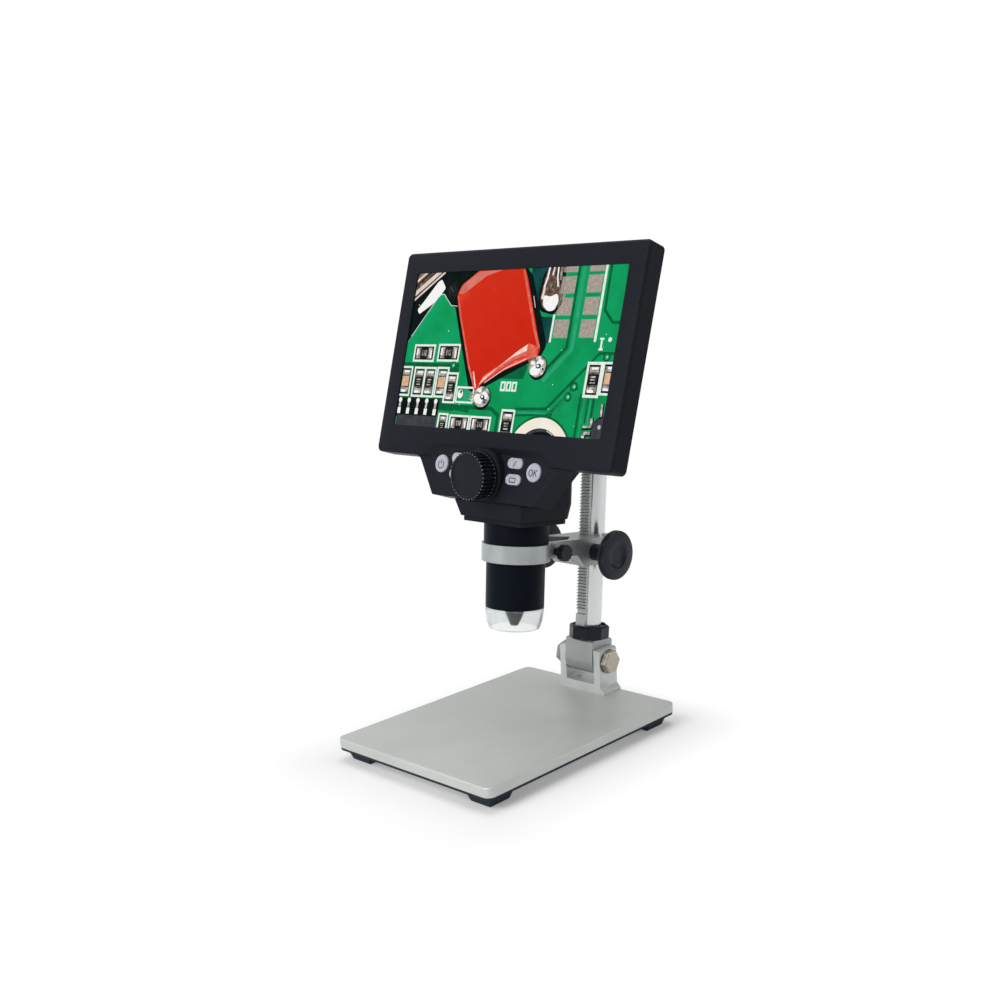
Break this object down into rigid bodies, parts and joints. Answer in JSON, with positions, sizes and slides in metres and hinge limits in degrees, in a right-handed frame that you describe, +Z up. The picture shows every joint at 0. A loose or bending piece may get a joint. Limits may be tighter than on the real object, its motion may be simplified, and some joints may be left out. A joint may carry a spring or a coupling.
{
  "type": "lcd digital microscope",
  "caption": "Digital microscope with a flat screen, a knurled focus wheel and a clear hood, held over a base plate by a tilting column with rack-and-pinion height drive.",
  "frame": {"origin": "on the table, under the centre of the base plate", "axes": "+Z up, the screen faces -Y, +X to the right as seen from the front"},
  "size_m": [0.179, 0.1738, 0.2758],
  "materials": {
    "plate_aluminium": "sand-blasted and anodised",
    "cast_aluminium": "satin, painted silver",
    "column_aluminium": "drawn bar, satin",
    "rack_steel": "machined teeth",
    "black_rubber": "moulded, matt",
    "screw_steel": "zinc plated",
    "nickel": "nickel plated",
    "shaft_steel": "ground",
    "black_plastic": "moulded",
    "brass": "turned",
    "housing_plastic": "fine spark texture",
    "wheel_plastic": "moulded with ribs",
    "barrel_aluminium": "black anodised",
    "clear_plastic": "clear polycarbonate",
    "lens_black": "matt",
    "lens_glass": "coated",
    "inner_plastic": "moulded acetal",
    "circuit_board": "solder mask",
    "led_white": "white",
    "sensor_chip": "package",
    "lcd_glass": "lit picture behind glass",
    "lcd_frame": "pressed frame",
    "battery_wrap": "pouch",
    "key_grey": "moulded keys"
  },
  "bodies": {
    "base": {"base_plate": "plate_aluminium", "foot_front_left": "black_rubber", "foot_front_right": "black_rubber", "foot_rear_left": "black_rubber", "foot_rear_right": "black_rubber", "foot_screws": "screw_steel", "yoke": "cast_aluminium", "yoke_screws": "screw_steel", "tilt_bolt": "nickel", "tilt_washer": "screw_steel", "tilt_nut": "nickel"},
    "column_stand": {"tilt_block": "cast_aluminium", "column": "column_aluminium", "rack": "rack_steel"},
    "collar": {"collar_nut": "black_plastic"},
    "carriage": {"carriage_arm": "cast_aluminium", "shaft_bushes": "brass"},
    "height_drive": {"pinion_shaft": "shaft_steel", "height_pinion": "rack_steel", "left_height_knob": "black_plastic", "right_height_knob": "black_plastic"},
    "clamp": {"clamp_screw": "black_plastic"},
    "head": {"front_bezel": "housing_plastic", "rear_cover": "housing_plastic", "neck_housing": "housing_plastic", "neck_base": "housing_plastic", "upper_barrel": "barrel_aluminium", "lower_barrel": "barrel_aluminium", "clear_hood": "clear_plastic", "led_board": "circuit_board", "leds": "led_white", "sensor_board": "circuit_board", "image_sensor": "sensor_chip", "lcd_glass": "lcd_glass", "lcd_backlight": "lcd_frame", "main_board": "circuit_board", "key_board": "circuit_board", "key_switches": "inner_plastic", "battery": "battery_wrap", "usb_socket": "sensor_chip", "card_slot": "sensor_chip", "focus_bush": "brass", "housing_screws": "screw_steel"},
    "lens_carriage": {"lens_tube": "lens_black", "lens_rack": "inner_plastic", "front_lens": "lens_glass", "rear_lens": "lens_glass"},
    "focus_drive": {"focus_wheel": "wheel_plastic", "focus_shaft": "shaft_steel", "focus_pinion": "inner_plastic"},
    "power_button": {"power_button": "key_grey"},
    "ok_button": {"ok_button": "key_grey"},
    "upper_left_button": {"upper_left_button": "key_grey"},
    "lower_left_button": {"lower_left_button": "key_grey"},
    "upper_right_button": {"upper_right_button": "key_grey"},
    "lower_right_button": {"lower_right_button": "key_grey"}
  },
  "joints": [
    {"name": "column_tilt", "type": "hinge", "parent": "base", "child": "column_stand", "pos_m": [0, 0.07055, 0.03375], "axis": [1, 0, 0], "range_deg": [-14, 16]},
    {"name": "collar_turn", "type": "hinge", "parent": "column_stand", "child": "collar", "pos_m": [0, 0.07188, 0.04638], "axis": [0, 0.1045, 0.9945], "range_deg": [0, 180]},
    {"name": "carriage_height", "type": "slide", "parent": "column_stand", "child": "carriage", "axis": [0, 0.1045, 0.9945], "range_m": [-0.036, 0.083]},
    {"name": "height_knobs_turn", "type": "hinge", "parent": "carriage", "child": "height_drive", "pos_m": [0, 0.06561, 0.10279], "axis": [1, 0, 0], "range_deg": [-1323, 575]},
    {"name": "clamp_screw_turn", "type": "hinge", "parent": "carriage", "child": "clamp", "pos_m": [0, 0.03145, 0.1095], "axis": [1, 0, 0], "range_deg": [0, 360]},
    {"name": "head_swivel", "type": "hinge", "parent": "carriage", "child": "head", "pos_m": [0, 0.01194, 0.11708], "axis": [0, 0.1045, 0.9945], "range_deg": [-60, 60]},
    {"name": "lens_focus", "type": "slide", "parent": "head", "child": "lens_carriage", "axis": [0, 0.1045, 0.9945], "range_m": [-0.0025, 0.006]},
    {"name": "focus_wheel_turn", "type": "hinge", "parent": "head", "child": "focus_drive", "pos_m": [0, 0.01596, 0.15537], "axis": [0, 0.9945, -0.1045], "range_deg": [-117, 50]},
    {"name": "power_button_press", "type": "slide", "parent": "head", "child": "power_button", "axis": [0, 0.9511, -0.309], "range_m": [0, 0.0005], "stiffness_N_per_m": 600},
    {"name": "ok_button_press", "type": "slide", "parent": "head", "child": "ok_button", "axis": [0, 0.9511, -0.309], "range_m": [0, 0.0005], "stiffness_N_per_m": 600},
    {"name": "upper_left_button_press", "type": "slide", "parent": "head", "child": "upper_left_button", "axis": [0, 0.9511, -0.309], "range_m": [0, 0.0005], "stiffness_N_per_m": 600},
    {"name": "lower_left_button_press", "type": "slide", "parent": "head", "child": "lower_left_button", "axis": [0, 0.9511, -0.309], "range_m": [0, 0.0005], "stiffness_N_per_m": 600},
    {"name": "upper_right_button_press", "type": "slide", "parent": "head", "child": "upper_right_button", "axis": [0, 0.9511, -0.309], "range_m": [0, 0.0005], "stiffness_N_per_m": 600},
    {"name": "lower_right_button_press", "type": "slide", "parent": "head", "child": "lower_right_button", "axis": [0, 0.9511, -0.309], "range_m": [0, 0.0005], "stiffness_N_per_m": 600}
  ],
  "couplings": [
    {"joint": "height_knobs_turn", "follows": "carriage_height", "rad_per_m": -277.78},
    {"joint": "focus_wheel_turn", "follows": "lens_focus", "rad_per_m": -333.33}
  ]
}
